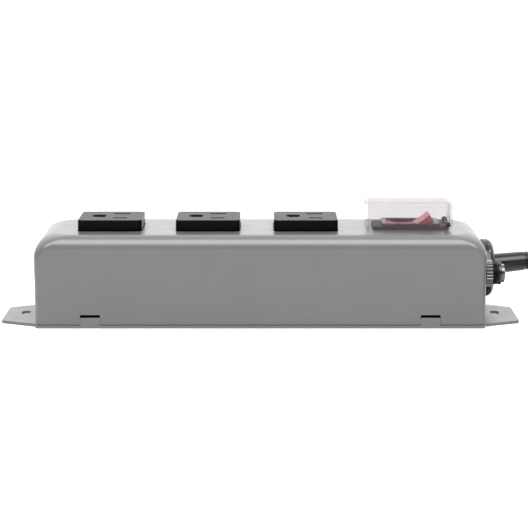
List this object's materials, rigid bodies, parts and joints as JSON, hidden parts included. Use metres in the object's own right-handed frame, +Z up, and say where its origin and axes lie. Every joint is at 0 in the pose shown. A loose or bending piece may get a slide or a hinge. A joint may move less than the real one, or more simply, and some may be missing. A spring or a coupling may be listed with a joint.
{
  "type": "power strip",
  "caption": "Surface-mounted power strip in a drawn metal housing, with raised sockets in a row, a rocker switch under a clear flip-up guard, a reset breaker and a put-away mains cord",
  "frame": {"origin": "on the standing surface, under the middle of the base plate, the cord left out", "axes": "+X along the strip towards the cord end, +Y to the back, +Z up out of the sockets"},
  "size_m": [0.5487, 0.0759, 0.064],
  "materials": {
    "grey_paint": "satin",
    "plate_paint": "satin",
    "zinc_steel": "satin",
    "black_plastic": "satin",
    "black_rubber": "matte",
    "red_plastic": "gloss",
    "clear_plastic": "clear",
    "brass": "satin",
    "grey_fibre": "matte",
    "black_insulation": "satin",
    "white_insulation": "satin",
    "green_insulation": "satin"
  },
  "bodies": {
    "root": {"base_plate": "plate_paint", "bonding_strap": "brass", "breaker_body": "black_plastic", "breaker_bushing": "black_plastic", "breaker_lead": "black_insulation", "breaker_nut": "black_plastic", "breaker_terminal_line": "brass", "breaker_terminal_load": "brass", "cord_hank": "black_rubber", "cover_screw_left": "zinc_steel", "cover_screw_right": "zinc_steel", "gland_body": "black_plastic", "gland_cap": "black_plastic", "gland_gasket": "black_rubber", "gland_locknut": "black_plastic", "ground_bus": "brass", "ground_lead": "green_insulation", "ground_screw": "zinc_steel", "guard_frame": "black_plastic", "guard_pin": "zinc_steel", "hank_tie_back": "black_rubber", "hank_tie_front": "black_rubber", "hot_bus": "brass", "housing_cover": "grey_paint", "insulating_liner": "grey_fibre", "line_lead": "black_insulation", "load_lead": "black_insulation", "neutral_bus": "brass", "neutral_lead": "white_insulation", "outlet_left": "black_plastic", "outlet_left_ground_contact": "brass", "outlet_left_hot_contact": "brass", "outlet_left_neutral_contact": "brass", "outlet_middle": "black_plastic", "outlet_middle_ground_contact": "brass", "outlet_middle_hot_contact": "brass", "outlet_middle_neutral_contact": "brass", "outlet_right": "black_plastic", "outlet_right_ground_contact": "brass", "outlet_right_hot_contact": "brass", "outlet_right_neutral_contact": "brass", "plug_body": "black_rubber", "plug_ground_pin": "brass", "plug_hot_blade": "brass", "plug_neutral_blade": "brass", "power_cord": "black_rubber", "rocker_pin": "zinc_steel", "strain_relief": "black_rubber", "switch_housing": "black_plastic", "switch_terminal_line": "brass", "switch_terminal_load": "brass"},
    "rocker": {"rocker": "red_plastic"},
    "contact_arm": {"contact_arm": "brass"},
    "switch_guard": {"switch_guard": "clear_plastic"},
    "breaker_button": {"breaker_button": "black_plastic"}
  },
  "joints": [
    {"name": "rocker_tip", "type": "hinge", "parent": "root", "child": "rocker", "pos_m": [0.0798, 0, 0.0492], "axis": [0, 1, 0], "range_deg": [0, 24]},
    {"name": "contact_arm_tip", "type": "hinge", "parent": "root", "child": "contact_arm", "pos_m": [0.0798, 0, 0.0347], "axis": [0, 1, 0], "range_deg": [-12, 0]},
    {"name": "guard_flip", "type": "hinge", "parent": "root", "child": "switch_guard", "pos_m": [0.0992, 0, 0.0513], "axis": [0, 1, 0], "range_deg": [0, 88]},
    {"name": "breaker_button_travel", "type": "slide", "parent": "root", "child": "breaker_button", "axis": [1, 0, 0], "range_m": [0, 0.003]}
  ],
  "couplings": [
    {"joint": "contact_arm_tip", "follows": "rocker_tip", "ratio": -0.5}
  ]
}
